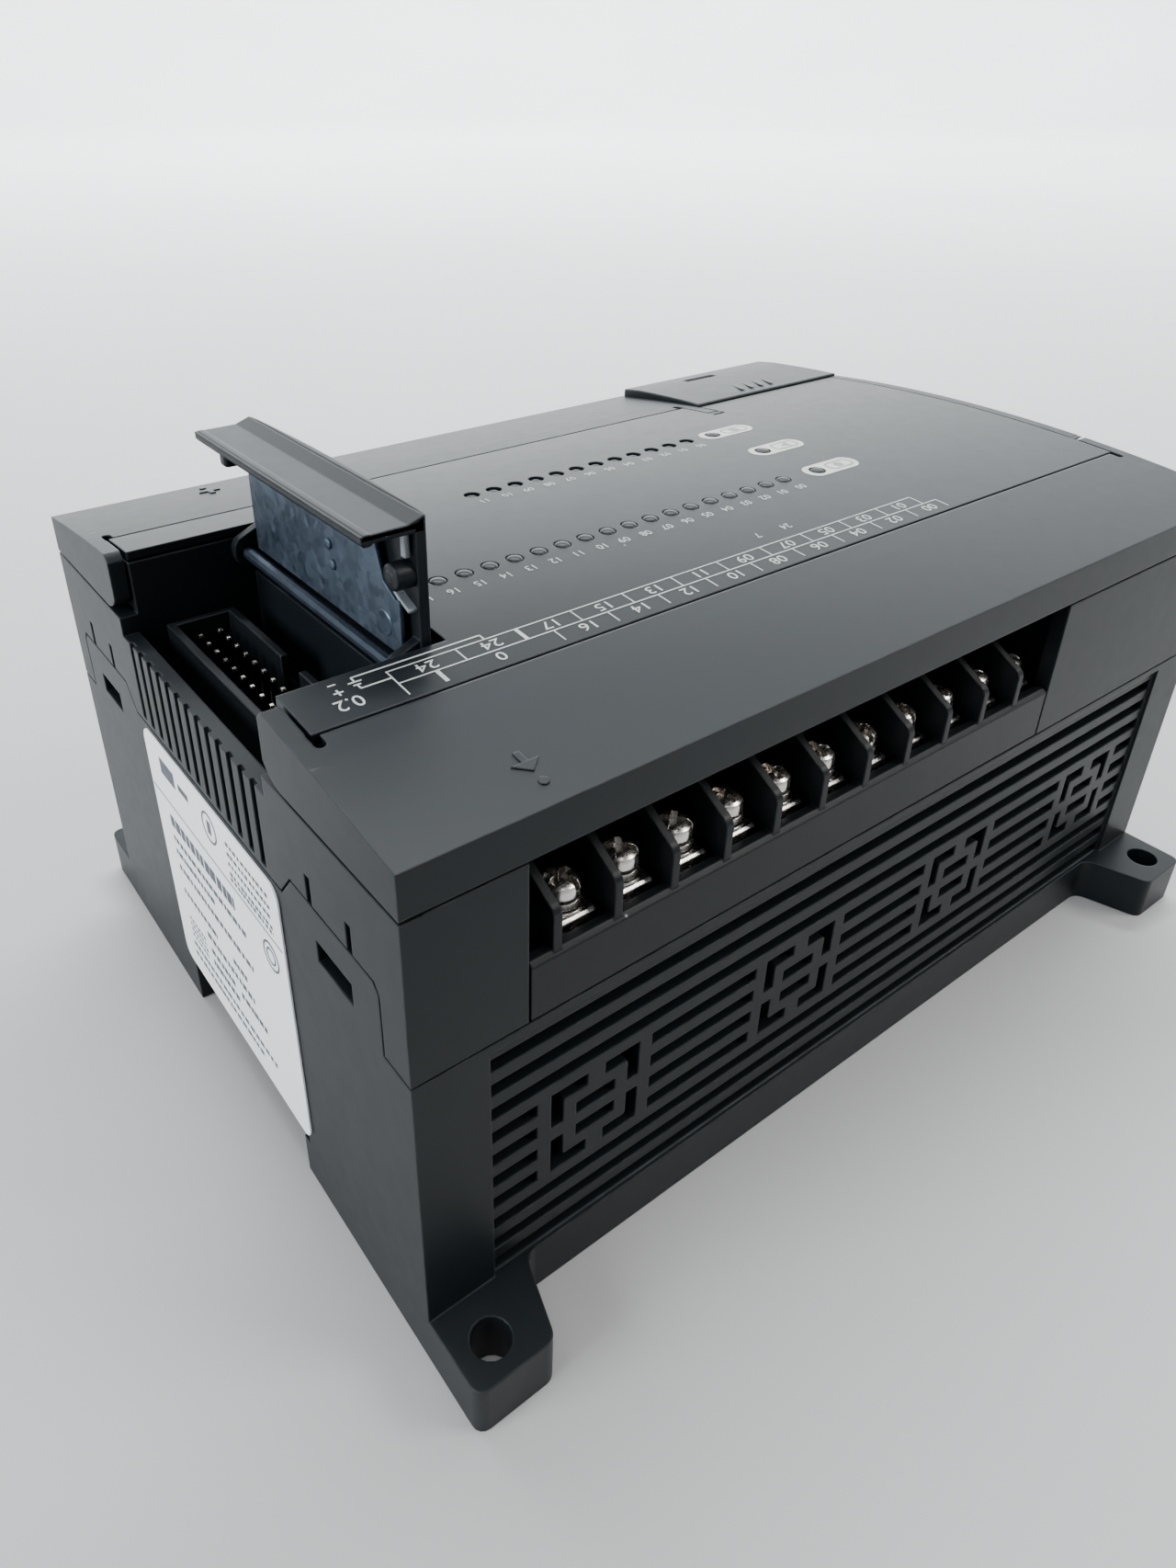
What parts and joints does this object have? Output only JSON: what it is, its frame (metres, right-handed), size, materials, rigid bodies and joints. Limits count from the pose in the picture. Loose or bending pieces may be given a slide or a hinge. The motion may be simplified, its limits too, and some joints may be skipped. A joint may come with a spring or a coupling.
{
  "type": "programmable logic controller",
  "caption": "Brick-style programmable controller with crowned face, hinged terminal covers, vent-fret sides, corner mounting tabs and an open expansion-port door.",
  "frame": {"origin": "under the middle of the object, on its back plane", "axes": "+X along the long side towards the communication corner, +Y from the input terminals to the output terminals, +Z out of the face"},
  "size_m": [0.1355, 0.1078, 0.0813],
  "materials": {
    "case_plastic": "fine satin texture",
    "panel_plastic": "smooth satin",
    "block_plastic": "moulded",
    "plated_steel": "nickel plated",
    "door_steel": "blued sheet",
    "gold_plate": "gold flash",
    "board_green": "solder mask",
    "lamp_clear": "clear moulding",
    "label_white": "printed film",
    "relay_blue": "moulded",
    "core_grey": "varnished",
    "aluminium": "extruded",
    "fuse_ceramic": "ceramic"
  },
  "bodies": {
    "housing": {"rear_case": "case_plastic", "front_case": "case_plastic", "face_panel": "panel_plastic", "door_hinge_rod": "plated_steel", "rating_label": "label_white", "input_light_pipe": "lamp_clear", "output_light_pipe": "lamp_clear", "status_light_pipe": "lamp_clear", "expansion_header": "block_plastic", "header_pins_left": "gold_plate", "header_pins_right": "gold_plate", "input_terminal_block": "block_plastic", "output_terminal_block": "block_plastic", "comm_socket_shell": "plated_steel", "comm_socket_insert": "block_plastic", "mode_switch_body": "block_plastic", "main_board": "board_green", "power_board": "board_green", "transformer": "core_grey", "reservoir_capacitor": "core_grey", "mains_fuse": "fuse_ceramic", "heat_sink": "aluminium", "processor": "core_grey", "backup_battery": "plated_steel", "output_relay_1": "relay_blue", "output_relay_2": "relay_blue", "output_relay_3": "relay_blue", "output_relay_4": "relay_blue", "input_screw_01": "plated_steel", "output_screw_01": "plated_steel", "input_screw_02": "plated_steel", "output_screw_02": "plated_steel", "input_screw_03": "plated_steel", "output_screw_03": "plated_steel", "input_screw_04": "plated_steel", "output_screw_04": "plated_steel", "input_screw_05": "plated_steel", "output_screw_05": "plated_steel", "input_screw_06": "plated_steel", "output_screw_06": "plated_steel", "input_screw_07": "plated_steel", "output_screw_07": "plated_steel", "input_screw_08": "plated_steel", "output_screw_08": "plated_steel", "input_screw_09": "plated_steel", "output_screw_09": "plated_steel", "input_screw_10": "plated_steel", "output_screw_10": "plated_steel", "input_screw_11": "plated_steel", "output_screw_11": "plated_steel"},
    "input_cover": {"input_terminal_cover": "case_plastic"},
    "output_cover": {"output_terminal_cover": "case_plastic"},
    "comm_cover": {"comm_port_cover": "case_plastic"},
    "port_door": {"expansion_door": "case_plastic", "door_shield": "door_steel", "door_clip": "case_plastic"},
    "rail_latch_slider": {"rail_latch": "case_plastic"},
    "mode_lever": {"mode_switch_lever": "label_white"}
  },
  "joints": [
    {"name": "input_cover_hinge", "type": "hinge", "parent": "housing", "child": "input_cover", "pos_m": [0, -0.0242, 0.0644], "axis": [-1, 0, 0], "range_deg": [0, 80]},
    {"name": "output_cover_hinge", "type": "hinge", "parent": "housing", "child": "output_cover", "pos_m": [-0.0176, 0.0242, 0.0644], "axis": [1, 0, 0], "range_deg": [0, 80]},
    {"name": "comm_cover_hinge", "type": "hinge", "parent": "housing", "child": "comm_cover", "pos_m": [0.0501, 0.0271, 0.0677], "axis": [1, 0, 0], "range_deg": [0, 90]},
    {"name": "expansion_door_hinge", "type": "hinge", "parent": "housing", "child": "port_door", "pos_m": [-0.0512, 0.0002, 0.065], "axis": [0, -1, 0], "range_deg": [0, 90]},
    {"name": "rail_latch_slide", "type": "slide", "parent": "housing", "child": "rail_latch_slider", "axis": [0, 1, 0], "range_m": [0, 0.0025], "stiffness_N_per_m": 600},
    {"name": "mode_switch_slide", "type": "slide", "parent": "housing", "child": "mode_lever", "axis": [0, 1, 0], "range_m": [0, 0.0048]}
  ]
}
